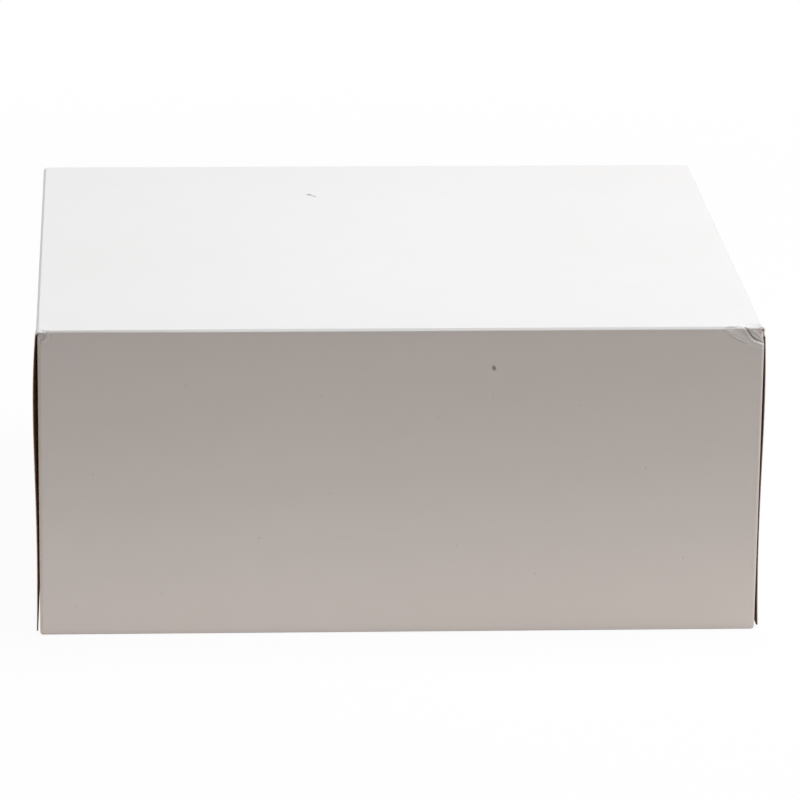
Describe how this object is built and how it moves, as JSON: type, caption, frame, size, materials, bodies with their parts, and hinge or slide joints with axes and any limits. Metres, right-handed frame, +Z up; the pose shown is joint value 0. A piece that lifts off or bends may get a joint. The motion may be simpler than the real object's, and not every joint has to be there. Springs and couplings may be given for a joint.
{
  "type": "cake box",
  "caption": "Square folding cake box in white paperboard: a tray with glued corners and a hinged lid whose full-depth flaps hang outside the tray's walls.",
  "frame": {"origin": "middle of the closed box between its folds, on the underside of the tray's base, at table height", "axes": "+Z up, -Y towards the front flap, +Y towards the hinged back wall, +X to the right seen from the front"},
  "size_m": [0.2317, 0.23, 0.1004],
  "materials": {
    "white_board": "matte"
  },
  "bodies": {
    "tray": {"tray": "white_board"},
    "lid": {"lid_panel": "white_board"},
    "front_flap": {"front_flap": "white_board"},
    "left_flap": {"left_flap": "white_board"},
    "right_flap": {"right_flap": "white_board"}
  },
  "joints": [
    {"name": "lid_hinge", "type": "hinge", "parent": "tray", "child": "lid", "pos_m": [0, 0.11474, 0.10014], "axis": [-1, 0, 0], "range_deg": [0, 180]},
    {"name": "front_flap_fold", "type": "hinge", "parent": "lid", "child": "front_flap", "pos_m": [0, -0.11474, 0.10014], "axis": [-1, 0, 0], "range_deg": [0, 120]},
    {"name": "left_flap_fold", "type": "hinge", "parent": "lid", "child": "left_flap", "pos_m": [-0.11474, 0, 0.10014], "axis": [0, 1, 0], "range_deg": [0, 120]},
    {"name": "right_flap_fold", "type": "hinge", "parent": "lid", "child": "right_flap", "pos_m": [0.11474, 0, 0.10014], "axis": [0, -1, 0], "range_deg": [0, 120]}
  ]
}
